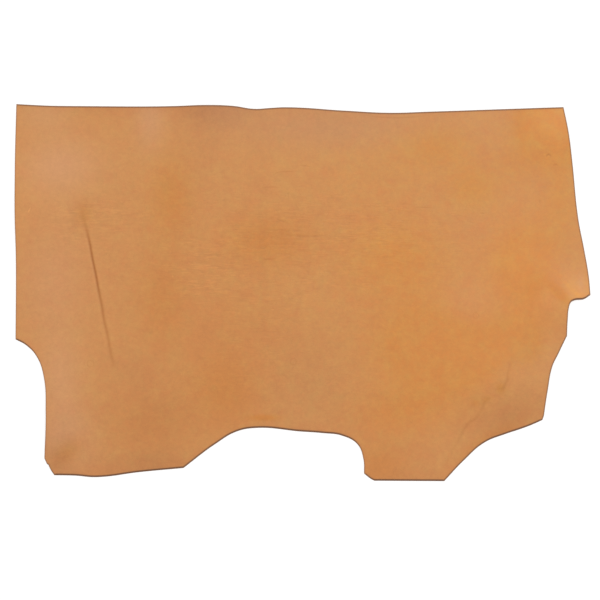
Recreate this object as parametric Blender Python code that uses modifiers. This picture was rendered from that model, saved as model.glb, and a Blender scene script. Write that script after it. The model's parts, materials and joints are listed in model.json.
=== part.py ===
"""Leather double shoulder: both shoulders of one hide in a single sheet.

It lies grain side up on a flat surface. Metres, +Z up, with the origin on that surface under the
middle of the hide's outline. +X runs across the hide from flank to flank, and +Y from the neck to
the back cut.
"""

import math
from collections import namedtuple

import bpy
import numpy as np
from mathutils import Vector
from mathutils.geometry import delaunay_2d_cdt, interpolate_bezier

MM = 0.001

# Driving sizes, in millimetres
SUBSTANCE = 3.0
OUTLINE_STEP = 8.0
SURFACE_STEP = 29.0
CREASE_STEP = 12.0
CREASE_WIDTH = 7.0
CREASE_DEPTH = 0.9
CREASE_ENDS = ((-550.0, 186.0), (-478.0, -176.0))

# How the crease narrows to its ends: a sine along its length, to this power
CREASE_TAPER = 0.6
# How near an inner point may come to the outline or the crease, as a share of SURFACE_STEP
CLEARANCE = 0.55
# Points read along each stretch of the knife's curve, before the even steps
CURVE_SAMPLES = 24
MERGE_DISTANCE = 1e-6

# The knife's way round the hide, clockwise on the grain side, in millimetres. Each cut starts at a
# corner and passes through its points to the next cut's corner.
Cut = namedtuple("Cut", "name corner through")
CUTS = (
    Cut("back cut", (-721, 475), ((-640, 471), (-585, 470), (-408, 469), (-320, 470), (-244, 472),
                                  (-174, 470), (-121, 463), (-84, 465), (-45, 467), (108, 458),
                                  (217, 453), (323, 456), (499, 462))),
    Cut("right flank", (657, 467), ((669, 406), (679, 333), (695, 184), (710, 106), (721, 41))),
    Cut("right armpit", (725, -6), ((707, -17), (687, -19), (675, -24), (670, -36), (667, -68))),
    Cut("right foreleg", (666, -109), ((644, -155), (629, -186), (617, -247))),
    Cut("right cheek corner", (608, -310), ()),
    Cut("right cheek", (604, -321), ((575, -334), (548, -344), (512, -356), (458, -378),
                                     (406, -423))),
    Cut("right neck end", (357, -475), ()),
    Cut("poll corner", (181, -474), ((173, -470),)),
    Cut("poll", (155, -456), ((153, -418), (139, -383), (101, -361), (50, -354), (-5, -350),
                              (-116, -341), (-166, -350), (-219, -381))),
    Cut("left neck end", (-300, -442), ((-408, -452), (-522, -465), (-572, -461))),
    Cut("left snip", (-625, -460), ((-630, -453), (-635, -445))),
    Cut("nick in the left snip", (-640, -434), ()),
    Cut("left cheek corner", (-644, -431), ()),
    Cut("left foreleg", (-650, -417), ((-646, -302), (-652, -211), (-670, -161), (-696, -133))),
    Cut("left flank", (-723, -118), ((-722, 56), (-725, 295))),
)

# Where the hide stands off the surface: centre, half length along the turned direction, half width,
# turn in degrees and height. Everywhere else it lies flat.
Lift = namedtuple("Lift", "name x y length width turn height")
LIFTS = (
    Lift("left flank ridge", -685, 192, 230, 125, 4, 6.0),
    Lift("back cut, left", -509, 504, 130, 110, 0, 3.5),
    Lift("back cut, middle", -237, 514, 125, 150, 0, 7.5),
    Lift("back cut, right", 108, 514, 210, 130, 0, 4.5),
    Lift("spine swell", -30, 257, 260, 145, 8, 3.0),
    Lift("neck swell", -144, -133, 360, 250, 40, 7.0),
    Lift("left flap ridge", -615, -335, 200, 100, 112, 8.0),
    Lift("middle flap", 272, -378, 180, 115, 0, 4.5),
    Lift("right flap", 529, -234, 190, 125, 18, 7.5),
    Lift("right armpit tip", 658, -20, 190, 90, -52, 9.0),
    Lift("right flank ridge", 665, 403, 190, 115, -20, 5.0),
)

LEATHER_COLOUR = (0.61, 0.27, 0.10, 1.0)
LEATHER_ROUGHNESS = 0.55


def clear_scene():
    for obj in list(bpy.data.objects):
        bpy.data.objects.remove(obj)


def collection(name):
    made = bpy.data.collections.new(name)
    bpy.context.scene.collection.children.link(made)
    return made


def leather_material():
    material = bpy.data.materials.new("vegetable_tanned_leather")
    material.use_nodes = True
    shader = material.node_tree.nodes["Principled BSDF"]
    shader.inputs["Base Color"].default_value = LEATHER_COLOUR
    shader.inputs["Roughness"].default_value = LEATHER_ROUGHNESS
    shader.inputs["Metallic"].default_value = 0.0
    return material


def knife_line(helpers):
    """The hide's outline as a closed Bezier curve: sharp at each cut's corner and smooth between."""
    curve = bpy.data.curves.new("knife_line", "CURVE")
    curve.dimensions = "2D"
    spline = curve.splines.new("BEZIER")
    stations = [(point, at_corner) for cut in CUTS
                for point, at_corner in [(cut.corner, True), *((p, False) for p in cut.through)]]
    spline.bezier_points.add(len(stations) - 1)
    spline.use_cyclic_u = True
    for knot, ((x, y), at_corner) in zip(spline.bezier_points, stations):
        knot.co = (x * MM, y * MM, 0)
        handle = "VECTOR" if at_corner else "AUTO"
        knot.handle_left_type = handle
        knot.handle_right_type = handle
    line = bpy.data.objects.new("knife_line", curve)
    line.hide_render = True
    line.display_type = "WIRE"
    helpers.objects.link(line)
    return line


def evenly(points, step):
    """The points of an open line again, at equal steps of about that length, without its last point."""
    points = np.array(points)
    along = np.concatenate([[0], np.cumsum(np.linalg.norm(np.diff(points, axis=0), axis=1))])
    count = max(1, round(along[-1] / step))
    stations = np.linspace(0, along[-1], count + 1)[:-1]
    return np.stack([np.interp(stations, along, points[:, k]) for k in (0, 1)], axis=1)


def outline_points(line):
    """The outline in millimetres as (n, 2) points, counter-clockwise, with every corner kept."""
    knots = line.data.splines[0].bezier_points
    rim, stretch = [], []
    for knot, following in zip(knots, [*knots[1:], knots[0]]):
        stretch += interpolate_bezier(knot.co, knot.handle_right, following.handle_left, following.co,
                                      CURVE_SAMPLES)
        if following.handle_left_type == "VECTOR":
            rim.append(evenly([(p.x / MM, p.y / MM) for p in stretch], OUTLINE_STEP))
            stretch = []
    rim = np.concatenate(rim)[::-1]
    return rim - (rim.min(axis=0) + rim.max(axis=0)) / 2


def distance_to_line(points, starts, ends):
    """The distance from each point to the nearest of the straight pieces from starts to ends."""
    piece = ends - starts
    offset = points[:, None, :] - starts[None, :, :]
    share = np.clip((offset * piece).sum(axis=2) / (piece * piece).sum(axis=1), 0, 1)
    return np.linalg.norm(offset - share[:, :, None] * piece, axis=2).min(axis=1)


def inside(points, outline):
    """Whether each point lies inside the outline, by counting the sides that it sees along +X."""
    ahead = np.zeros(len(points), int)
    for (x0, y0), (x1, y1) in zip(outline, np.roll(outline, -1, axis=0)):
        spans = (y0 > points[:, 1]) != (y1 > points[:, 1])
        if y0 != y1:
            crossing = x0 + (points[:, 1] - y0) * (x1 - x0) / (y1 - y0)
            ahead += spans & (crossing > points[:, 0])
    return ahead % 2 == 1


def crease_rows():
    """Points along the crease and its two edges, and each point's share of CREASE_DEPTH."""
    start, end = (np.array(point) for point in CREASE_ENDS)
    run = end - start
    length = np.linalg.norm(run)
    across = np.array([-run[1], run[0]]) / length
    points, depths = [start, end], [0.0, 0.0]
    for t in np.linspace(0, 1, round(length / CREASE_STEP) + 1)[1:-1]:
        taper = math.sin(math.pi * t) ** CREASE_TAPER
        for side in (-1, 0, 1):
            points.append(start + t * run + side * taper * CREASE_WIDTH / 2 * across)
            depths.append(taper if side == 0 else 0.0)
    return np.array(points), np.array(depths)


def lattice_points(outline):
    """Points of an even triangular lattice, clear of the outline and of the crease."""
    low, high = outline.min(axis=0), outline.max(axis=0)
    row_step = SURFACE_STEP * math.sqrt(3) / 2
    rows = np.arange(low[1], high[1], row_step)
    points = np.array([(x + SURFACE_STEP / 2 * (i % 2), y) for i, y in enumerate(rows)
                       for x in np.arange(low[0], high[0], SURFACE_STEP)])
    points = points[inside(points, outline)]
    to_rim = distance_to_line(points, outline, np.roll(outline, -1, axis=0))
    start, end = (np.array([point]) for point in CREASE_ENDS)
    to_crease = distance_to_line(points, start, end)
    return points[(to_rim > CLEARANCE * SURFACE_STEP) & (to_crease > CLEARANCE * SURFACE_STEP)]


def height(points):
    """How far the flesh side stands off the surface at each point, in millimetres."""
    total = np.zeros(len(points))
    for lift in LIFTS:
        turn = math.radians(lift.turn)
        dx, dy = points[:, 0] - lift.x, points[:, 1] - lift.y
        along = (dx * math.cos(turn) + dy * math.sin(turn)) / lift.length
        across = (dy * math.cos(turn) - dx * math.sin(turn)) / lift.width
        total += lift.height * np.clip(1 - along ** 2 - across ** 2, 0, None) ** 3
    return total


def flesh_side(outline, crease):
    """The hide's underside as an open mesh facing up, its points in the order given."""
    points = np.concatenate([outline, crease, lattice_points(outline)])
    boundary = list(range(len(outline)))
    placed, _, faces, *_ = delaunay_2d_cdt([Vector(point) for point in points], [], [boundary],
                                           1, MERGE_DISTANCE, False)
    placed = np.array([(p.x, p.y) for p in placed])
    middles = placed[np.array(faces)].mean(axis=1)
    # Blender rounds the points, so the outline is the rounded one: no sliver outside it is kept
    kept = [face for face, is_hide in zip(faces, inside(middles, placed[boundary])) if is_hide]
    mesh = bpy.data.meshes.new("shoulder_hide")
    surface = np.column_stack([placed, height(placed)]) * MM
    mesh.from_pydata(surface.tolist(), [], kept)
    mesh.shade_smooth()
    return mesh


def shoulder_hide(parts, line, material):
    """The hide: its flesh side, thickened upwards to the grain side, less along the crease."""
    outline = outline_points(line)
    crease, crease_depth = crease_rows()
    mesh = flesh_side(outline, crease)
    mesh.materials.append(material)
    hide = bpy.data.objects.new("shoulder_hide", mesh)
    parts.objects.link(hide)

    substance = np.ones(len(mesh.vertices))
    substance[len(outline):len(outline) + len(crease)] -= crease_depth * CREASE_DEPTH / SUBSTANCE
    group = hide.vertex_groups.new(name="substance")
    for index, share in enumerate(substance):
        group.add([index], float(share), "REPLACE")

    thicken = hide.modifiers.new("substance", "SOLIDIFY")
    thicken.thickness = SUBSTANCE * MM
    thicken.offset = 1.0
    thicken.vertex_group = group.name


def main():
    clear_scene()
    parts = collection("leather_double_shoulder")
    helpers = collection("cutters")
    shoulder_hide(parts, knife_line(helpers), leather_material())


main()
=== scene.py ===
"""Dresses the leather double shoulder: its grain side, cut edge and flesh side, and a plain stage."""

import json
import math
from collections import namedtuple

import bmesh
import bpy
import numpy as np
from bpy.props import FloatProperty, FloatVectorProperty, PointerProperty
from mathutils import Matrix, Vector
from mathutils.bvhtree import BVHTree
from mathutils.geometry import delaunay_2d_cdt, interpolate_bezier
from mathutils.kdtree import KDTree


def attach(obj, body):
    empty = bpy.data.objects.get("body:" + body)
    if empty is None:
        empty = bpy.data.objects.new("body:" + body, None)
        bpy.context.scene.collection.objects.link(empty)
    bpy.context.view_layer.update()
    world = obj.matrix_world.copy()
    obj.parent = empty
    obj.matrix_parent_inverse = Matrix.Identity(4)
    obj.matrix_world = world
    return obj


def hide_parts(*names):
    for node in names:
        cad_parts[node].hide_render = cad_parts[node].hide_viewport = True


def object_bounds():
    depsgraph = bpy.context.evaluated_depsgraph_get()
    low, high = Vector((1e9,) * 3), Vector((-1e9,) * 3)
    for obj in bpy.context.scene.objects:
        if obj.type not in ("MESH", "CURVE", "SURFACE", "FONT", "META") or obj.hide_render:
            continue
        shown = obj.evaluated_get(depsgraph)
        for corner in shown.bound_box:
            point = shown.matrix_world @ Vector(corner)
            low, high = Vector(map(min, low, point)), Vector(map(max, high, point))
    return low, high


bl_info = {
    "name": "Leather double shoulder",
    "version": (1, 0, 0),
    "blender": (4, 5, 0),
    "location": "View3D > Sidebar > Leather",
    "description": "Dresses a double shoulder of vegetable-tanned leather and sets its stage",
    "category": "Object",
}

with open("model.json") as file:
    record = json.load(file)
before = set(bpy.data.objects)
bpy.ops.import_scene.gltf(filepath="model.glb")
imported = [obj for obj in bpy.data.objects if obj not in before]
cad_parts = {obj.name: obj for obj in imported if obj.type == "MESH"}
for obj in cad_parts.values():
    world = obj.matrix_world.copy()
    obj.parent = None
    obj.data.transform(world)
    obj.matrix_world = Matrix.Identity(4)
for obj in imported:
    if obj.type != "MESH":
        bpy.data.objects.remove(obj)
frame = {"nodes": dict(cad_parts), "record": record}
CAD_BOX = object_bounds()

MM = 0.001
HIDE = "shoulder_hide"
PIECE = "shoulder_hide_leather"
BODY = "root"

MOUNTS = {mount["name"]: mount["pos_m"] for mount in frame["record"]["mounts"]}
SUBSTANCE = MOUNTS["grain_side"][2] - MOUNTS["flesh_side"][2]

# The photograph: its frame in pixels, and how much of the surface one pixel covers
PHOTO_FRAME = 600
PIXEL = 2.517 * MM
PHOTO_CENTRE = (-0.0064, -0.0186)

# How the knife's line is read back from the model: a corner turns further than this, and by so many
# times more than the line does beside it
CORNER_TURN = math.radians(24)
CORNER_SHARPER = 2.0
CURVE_SAMPLES = 16
RIM_STEP = 4.2 * MM

# The cut edge from the grain side down to the flesh side: how far in from the knife's line each row
# of points lies before the knife's lean, its height as a share of the substance, how dark it is
# painted, the cut's own dark from drying with painted shade, as a share of what its way of facing
# gives, and which side the faces below it belong to
GRAIN, EDGE, FLESH = 0, 1, 2
RimRow = namedtuple("RimRow", "inset height dried below")
RIM_ROWS = (
    RimRow(2.00 * MM, 1.00, 1.0, GRAIN),
    RimRow(1.30 * MM, 1.00, 1.0, GRAIN),
    RimRow(0.75 * MM, 0.99, 1.0, GRAIN),
    RimRow(0.35 * MM, 0.95, 1.0, GRAIN),
    RimRow(0.12 * MM, 0.86, 1.0, EDGE),
    RimRow(0.00 * MM, 0.70, 1.0, EDGE),
    RimRow(0.00 * MM, 0.45, 0.85, EDGE),
    RimRow(0.00 * MM, 0.18, 0.6, EDGE),
    RimRow(0.06 * MM, 0.03, 0.5, FLESH),
    RimRow(0.55 * MM, 0.00, 0.3, FLESH),
)
# Where on the grain side, in from the edge, the dark from drying and its painted shade start to fade
# and are gone
DRIED_AND_SHADED_FADE = (0.8 * MM, 3.4 * MM)
# By the way that the rim faces: how far the knife leaned in over the hide, and how dark the cut is
# painted, its own dark from drying with painted shade, strongest where it faces the neck
Facing = namedtuple("Facing", "neck back left right")
KNIFE_LEAN = Facing(2.8 * MM, 1.8 * MM, 0.6 * MM, 1.2 * MM)
RIM_DARK = Facing(1.0, 0.72, 0.4, 0.6)
# Beside the rim the grain is painted a little darker, as painted shade by the rim's way of facing,
# and rosier too, over about this distance
RIM_TINT_REACH = 5 * MM
RIM_PAINTED_SHADE, RIM_TINT_ROSY = -0.07, 0.5
# The relief of the grain side grows from the rim over this distance
RELIEF_FADE = 16 * MM
# How near a point inside a sheet may come to its boundary, as a share of the step between points
LATTICE_CLEARANCE = 0.6

# The height of the hide off the surface is read on a grid, so many steps past the model's box, and
# then softened, out to so many times the softness
FIELD_STEP = 5 * MM
FIELD_MARGIN = 4
FIELD_SOFTNESS = 12 * MM
FIELD_REACH = 3

# Which of the many patterns of growth wrinkles and waves the hide has
SURFACE_SEED = 3

# Marks pressed into the grain, in millimetres: a line's points, the half width of its trough, its
# depth, how dark it is, how strong it is at even steps from its first point to its last, and how wide
# it is where it fades out, as a share of its width
Mark = namedtuple("Mark", "name points half_width depth dark fade faded_width",
                  defaults=((0.0, 0.65, 0.87, 0.98, 1.0, 0.96, 0.84, 0.6, 0.0), 0.5))
MARKS = (
    Mark("crease", ((-556, 202), (-545, 163), (-536, 125), (-529, 86), (-521, 48), (-514, 9),
                    (-506, -30), (-500, -68), (-491, -107), (-484, -146), (-477, -178),
                    (-474, -200)), 5.0, 0.85, 1.0,
         (0.1, 0.3, 0.8, 1.0, 1.0, 0.92, 0.68, 0.6, 0.5, 0.4, 0.35, 0.0), 1.6),
    Mark("foreleg wrinkle", ((505, -254), (504, -242), (509, -231), (514, -221), (515, -206),
                             (523, -178), (532, -153)), 6.0, 0.36, 0.34,
         (0.0, 0.9, 1.0, 0.8, 0.6, 0.5, 0.3, 0.0), 1.2),
    Mark("cheek wrinkle", ((500, -252), (478, -262), (461, -272), (455, -284), (448, -297),
                           (440, -312), (416, -332), (391, -373), (378, -398), (365, -423),
                           (355, -448)), 6.0, 0.34, 0.27,
         (0.0, 0.4, 0.8, 0.5, 1.0, 1.0, 0.6, 0.45, 0.5, 0.3, 0.0), 1.2),
    Mark("flank scuff", ((611, 341), (619, 348), (627, 341)), 3.8, 0.16, 0.50),
    Mark("flank scuff, lower", ((629, 318), (637, 323), (644, 318)), 3.6, 0.14, 0.34),
    Mark("flank scuff, dull", ((593, 232), (601, 228)), 4.6, 0.13, 0.34),
    Mark("shoulder dash", ((446, 199), (458, 200)), 3.0, 0.13, 0.28),
    Mark("rib nick", ((-328, 45), (-325, 37)), 2.6, 0.12, -0.40),
    Mark("spine nick", ((-79, -43), (-70, -42)), 2.6, 0.12, -0.36),
    Mark("spine scratch", ((-78, 292), (-65, 301), (-42, 304), (-8, 304)), 2.6, 0.18, 0.24),
    Mark("spine scratch, upper", ((-9, 320), (21, 317)), 2.6, 0.18, 0.22),
    Mark("neck line", ((-66, 149), (-20, 144), (46, 143), (66, 146)), 4.2, 0.20, 0.22),
    Mark("neck line, left", ((-99, 159), (-60, 157), (-22, 158)), 3.6, 0.18, 0.20),
    Mark("neck line, lower", ((-99, 83), (-64, 85)), 2.8, 0.20, 0.36),
    Mark("neck line, slanting", ((-66, 186), (-38, 174)), 2.6, 0.18, 0.30),
    Mark("neck line, upper", ((-106, 262), (-80, 265), (-55, 264)), 2.6, 0.16, 0.22),
    Mark("withers line", ((168, 219), (190, 216), (208, 217)), 2.6, 0.14, 0.18),
    Mark("withers line, right", ((287, 215), (329, 213)), 2.6, 0.14, 0.20),
    Mark("fold by the back cut", ((150, 447), (190, 442), (234, 440), (278, 442), (318, 446)),
         3.0, 0.15, 0.26),
    Mark("spine nick, upper", ((-37, 253), (-36, 236)), 2.4, 0.14, 0.20),
    Mark("flank nick", ((-690, 200), (-683, 215)), 2.4, 0.12, -0.50),
)
# The grain side's points at a mark: their step along its line, their rows beside it in half widths,
# and how near the other points come, as a share of the step between those
MARK_STEP = 4.0 * MM
MARK_ROWS = (0.0, 0.5, 1.0, 1.7)
MARK_CLEARANCE = 0.7
# The raised lip beside a trough: where it starts, is highest and ends, in half widths from the line,
# its height as a share of the depth, and how much lighter it is painted: a painted highlight
Lip = namedtuple("Lip", "start top end height worn")
LIP = Lip(0.8, 1.3, 2.2, 0.22, 0.06)

# Small healed rings, in millimetres
Ring = namedtuple("Ring", "x y radius")
RINGS = (Ring(-534, -179, 8.5), Ring(-23, -174, 8.0), Ring(436, -58, 7.0))
RING_POINTS = 14
RING_HALF_WIDTH, RING_DEPTH, RING_DARK = 2.4, 0.10, 0.16

# How fast the soft ellipses of the next two tables fade: this is the power of e at their half sizes
PATCH_FALL = 1.5

# How the tan took in places, with painted light and shade, in millimetres: centre, half sizes, turn
# in degrees, and at its middle how much lighter, rosier and paler than the rest. The lightness is
# partly the tan's own and partly painted light and shade: lighter towards the right and the upper
# right, darker towards the lower left and the neck, and painted shade along rims and in folds
Tone = namedtuple("Tone", "name x y width height turn light rosy pale")
TAN_AND_SHADE = (
    Tone("left flank", -610, 320, 120, 90, 0, 0.055, -0.6, 0.35),
    Tone("left flank, top", -650, 450, 90, 60, 0, 0.015, -0.3, 0.2),
    Tone("left edge, top", -690, 260, 70, 150, 0, 0.03, 0.0, 0.0),
    Tone("left edge", -630, 30, 110, 200, 0, 0.02, 0.05, 0.2),
    Tone("left foreleg", -610, -209, 70, 120, 0, 0.02, -0.4, 0.25),
    Tone("left flap", -600, -370, 90, 100, 0, -0.03, 0.0, 0.3),
    # The fold in the left flap and the corner below it, which curls down, are painted darker: painted
    # shade
    Tone("left flap, fold", -592, -400, 55, 32, 40, -0.06, 0.2, -0.3),
    Tone("left cheek corner", -640, -430, 60, 60, 0, -0.08, 0.1, 0.0),
    Tone("crease head", -550, 199, 27, 42, 0, -0.065, 0.3, -0.15),
    Tone("back cut, first", -383, 434, 45, 90, 0, 0.01, -0.3, 0.3),
    # The back cut is painted darker here: partly the tan, partly painted shade below its lifted edge
    # and along its rim
    Tone("back cut, second", -215, 462, 110, 60, 0, -0.13, 0.35, 0.1),
    Tone("below the back cut", -250, 370, 70, 110, 0, -0.03, 0.0, 0.0),
    Tone("back cut, left edge", -420, 472, 330, 28, 0, -0.05, 0.4, 0.0),
    Tone("back cut, middle", 70, 420, 260, 70, 0, -0.065, 0.0, 0.2),
    Tone("behind the crease", -330, 240, 70, 130, 0, -0.02, 0.3, -0.2),
    Tone("left ribs", -355, -10, 80, 150, 0, -0.03, 0.4, -0.13),
    # The left cheek is painted darker towards the neck: partly the tan, partly painted shade where it
    # falls away and along its rim
    Tone("left cheek", -380, -330, 150, 120, 0, -0.08, 0.5, -0.1),
    Tone("left cheek, neck edge", -380, -425, 130, 30, 0, -0.075, 0.0, 0.0),
    Tone("left cheek, rim", -440, -462, 210, 45, 0, -0.07, 0.7, 0.0),
    Tone("below the crease", -430, -190, 90, 70, 0, -0.04, 0.2, 0.0),
    Tone("left of the neck", -240, -95, 60, 60, 0, 0.00, 0.35, 0.0),
    Tone("left of the poll", -190, -250, 110, 130, 20, -0.028, 0.55, -0.17),
    Tone("middle", -120, -60, 270, 180, 0, -0.02, 0.2, -0.1),
    Tone("right side", 520, 100, 160, 330, 0, 0.015, 0.0, 0.0),
    Tone("spine", -90, 130, 150, 85, 0, -0.015, 0.4, -0.2),
    Tone("neck", 15, -15, 75, 75, 0, 0.01, -0.2, 0.0),
    Tone("poll", 20, -230, 130, 140, 0, -0.06, 0.0, 0.0),
    # Painted shade along the rim at the poll
    Tone("poll, rim", 0, -352, 130, 22, 0, -0.03, 0.5, 0.0),
    Tone("poll, smudge", -63, -301, 16, 10, 0, -0.05, 0.0, 0.0),
    Tone("poll, upper smudge", -103, -266, 13, 13, 0, -0.03, 0.0, 0.0),
    Tone("poll, by the neck", -95, -315, 42, 9, 0, 0.01, 0.4, -0.3),
    Tone("withers", 190, 300, 370, 130, 0, 0.01, 0.0, -0.1),
    Tone("withers, right", 430, 265, 80, 70, 0, 0.02, -0.05, -0.2),
    Tone("back cut, right", 340, 370, 120, 70, 0, 0.02, 0.0, -0.2),
    Tone("right shoulder", 240, 90, 190, 140, 0, 0.05, 0.2, -0.25),
    Tone("right shoulder, far side", 430, 150, 70, 50, 0, 0.00, 0.3, 0.0),
    Tone("right neck", 330, -140, 190, 150, 0, 0.05, 0.4, -0.4),
    Tone("right neck end", 190, -440, 90, 70, 0, -0.02, 0.55, -0.15),
    # Painted shade along the rim at the right neck end
    Tone("right neck end, rim", 290, -478, 150, 40, 0, -0.05, 0.4, 0.0),
    Tone("right ribs", 560, 70, 110, 150, 0, 0.09, 0.45, -0.35),
    Tone("right ribs, lower", 410, -25, 90, 70, 0, 0.03, 0.0, 0.1),
    Tone("below the armpit", 615, -20, 45, 50, 0, 0.05, 0.0, 0.1),
    Tone("right foreleg", 500, -130, 170, 70, 35, 0.03, 0.2, -0.2),
    Tone("right foreleg, edge", 570, -140, 50, 60, 0, -0.03, 0.0, -0.2),
    Tone("back cut, right corner", 635, 435, 100, 90, 0, 0.14, 0.15, -0.9),
    Tone("below the right corner", 550, 330, 90, 70, 0, 0.00, 0.35, -0.15),
    Tone("right flank", 655, 250, 70, 150, 0, 0.03, 0.0, -0.2),
    Tone("armpit tip", 698, 2, 55, 65, -35, 0.15, -0.1, 0.0),
    # A painted highlight on the pulled fold's ridge and its end, and painted shade on its face and in
    # the hollow beside it
    Tone("pulled ridge", 671, 14, 46, 9, -47, 0.06, -0.1, -0.1),
    Tone("pulled ridge, end", 694, -5, 16, 10, 0, 0.07, 0.0, -0.1),
    Tone("pulled face", 701, 26, 9, 30, 0, -0.035, -0.1, 0.2),
    Tone("pulled hollow", 648, -4, 42, 15, -45, -0.045, 0.3, -0.3),
    Tone("foreleg wrinkle, knot", 498, -241, 13, 16, 0, -0.06, 0.1, -0.2),
    Tone("cheek wrinkle, knot", 462, -269, 15, 10, 20, -0.035, 0.1, -0.1),
    Tone("cheek wrinkle, beside", 435, -277, 12, 12, 0, -0.035, 0.1, -0.1),
    # The right cheek is painted darker towards the neck: partly the tan, partly painted shade where it
    # falls away and along its rim
    Tone("right cheek", 520, -310, 130, 70, 20, -0.115, 0.25, 0.0),
    Tone("right cheek, rim", 470, -385, 110, 35, 35, -0.06, 0.35, -0.2),
    Tone("neck side, right", 250, -310, 170, 85, 0, 0.00, 0.3, -0.2),
    Tone("spine line", -101, 60, 9, 470, 0, -0.02, 0.0, 0.0),
)

# Where growth wrinkles show in the grain: centre, half sizes, turn, and at its middle how strong they
# are and how much lighter than the furrows their ridges are painted, a painted highlight
Wrinkles = namedtuple("Wrinkles", "name x y width height turn strength ridges")
WRINKLES = (
    Wrinkles("neck", -120, 90, 560, 340, 0, 0.60, 0.0),
    Wrinkles("left of the spine", -245, 45, 95, 105, 0, 0.35, 1.0),
    Wrinkles("withers", 60, 160, 330, 130, 0, 0.40, 0.0),
    Wrinkles("left flank", -560, 150, 170, 90, 0, 0.45, 0.0),
    Wrinkles("round the crease's head", -530, 200, 110, 45, 0, 0.60, 0.7),
    Wrinkles("neck, right", 90, 10, 150, 45, 0, 0.20, 0.6),
    Wrinkles("poll", -60, -200, 380, 170, 0, 0.35, 0.0),
    Wrinkles("right shoulder", 420, 150, 260, 170, 0, 0.30, 0.0),
)

# The stage: the floor's own grey, where the key lamp stands and how wide it is, in metres, and how
# wide the camera's sensor is, in millimetres
FLOOR_GREY = 0.4
KEY_PLACE = (3.2, 3.4, 8.4)
KEY_WIDTH = 6.0
SENSOR_WIDTH = 36


def from_srgb(red, green, blue):
    """A colour read off a screen, 0 to 255, as the linear RGBA that Blender's sockets hold."""
    shares = (value / 255 for value in (red, green, blue))
    linear = [v / 12.92 if v <= 0.04045 else ((v + 0.055) / 1.055) ** 2.4 for v in shares]
    return (*linear, 1.0)


class HideShape(bpy.types.PropertyGroup):
    """Sizes of the hide's fine surface."""

    grain_step: FloatProperty(
        name="Grain step", description="Distance between points on the grain side",
        default=4.3 * MM, min=3 * MM, unit="LENGTH")
    flesh_step: FloatProperty(
        name="Flesh step", description="Distance between points on the flesh side",
        default=12 * MM, min=5 * MM, unit="LENGTH")
    wrinkle_depth: FloatProperty(
        name="Wrinkle depth", description="Depth of the growth wrinkles where they are strongest",
        default=0.28 * MM, min=0, unit="LENGTH")
    wrinkle_length: FloatProperty(
        name="Wrinkle length", description="Usual length of one growth wrinkle",
        default=42 * MM, min=5 * MM, unit="LENGTH")
    wrinkle_spacing: FloatProperty(
        name="Wrinkle spacing", description="Usual distance from one growth wrinkle to the next",
        default=11 * MM, min=3 * MM, unit="LENGTH")
    unevenness: FloatProperty(
        name="Unevenness", description="Height of the slight waves in the grain side",
        default=0.5 * MM, min=0, unit="LENGTH")
    wave_length: FloatProperty(
        name="Wave length", description="Usual size of the slight waves",
        default=95 * MM, min=20 * MM, unit="LENGTH")


# The inputs of the hide's Geometry Nodes tree that take their values from HideShape
SHAPE_INPUTS = {"Wrinkle Depth": "wrinkle_depth", "Wrinkle Length": "wrinkle_length",
                "Wrinkle Spacing": "wrinkle_spacing", "Unevenness": "unevenness",
                "Wave Length": "wave_length"}


def colour_property(name, description, default):
    """A colour setting, its default as linear RGBA."""
    return FloatVectorProperty(name=name, description=description, default=default, size=4,
                               subtype="COLOR", min=0.0, max=1.0)


class HideColours(bpy.types.PropertyGroup):
    """Colours of the three sides of the hide."""

    golden: colour_property("Golden tan", "The grain side where it is yellowest",
                            from_srgb(192, 132, 56))
    rosy: colour_property("Rosy tan", "The grain side where it is rosiest",
                          from_srgb(192, 120, 49))
    pale: colour_property("Pale tan", "The grain side where it took least colour",
                          from_srgb(195, 139, 102))
    mark: colour_property("Marks", "The bottom of creases and scratches",
                          from_srgb(150, 84, 14))
    edge: colour_property("Edge", "The cut through the middle of the hide",
                          from_srgb(164, 112, 60))
    # The dark edge colour: the cut's dark fibres and its dark from drying, and painted shade along the
    # rim
    edge_dark: colour_property("Dark edge", "The dried corner of the cut",
                               from_srgb(104, 66, 38))
    flesh: colour_property("Flesh side", "The napped underside",
                           from_srgb(196, 152, 108))
    flesh_dark: colour_property("Dark flesh side", "Between the fibres of the underside",
                                from_srgb(160, 116, 76))


class StageSettings(bpy.types.PropertyGroup):
    """The plain stage: floor, light and camera."""

    floor_size: FloatProperty(
        name="Floor size", description="Side of the square floor", default=30, unit="LENGTH")
    key_power: FloatProperty(
        name="Key light", description="Power of the large light at the upper right", default=230,
        unit="POWER")
    fill: FloatProperty(
        name="Fill", description="Strength of the even light from all round", default=0.95)
    table_glow: FloatProperty(
        name="Table glow", description="How strongly the white table is lit from below",
        default=0.62)
    camera_lens: FloatProperty(
        name="Lens", description="Focal length of the camera, in millimetres", default=85)


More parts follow.
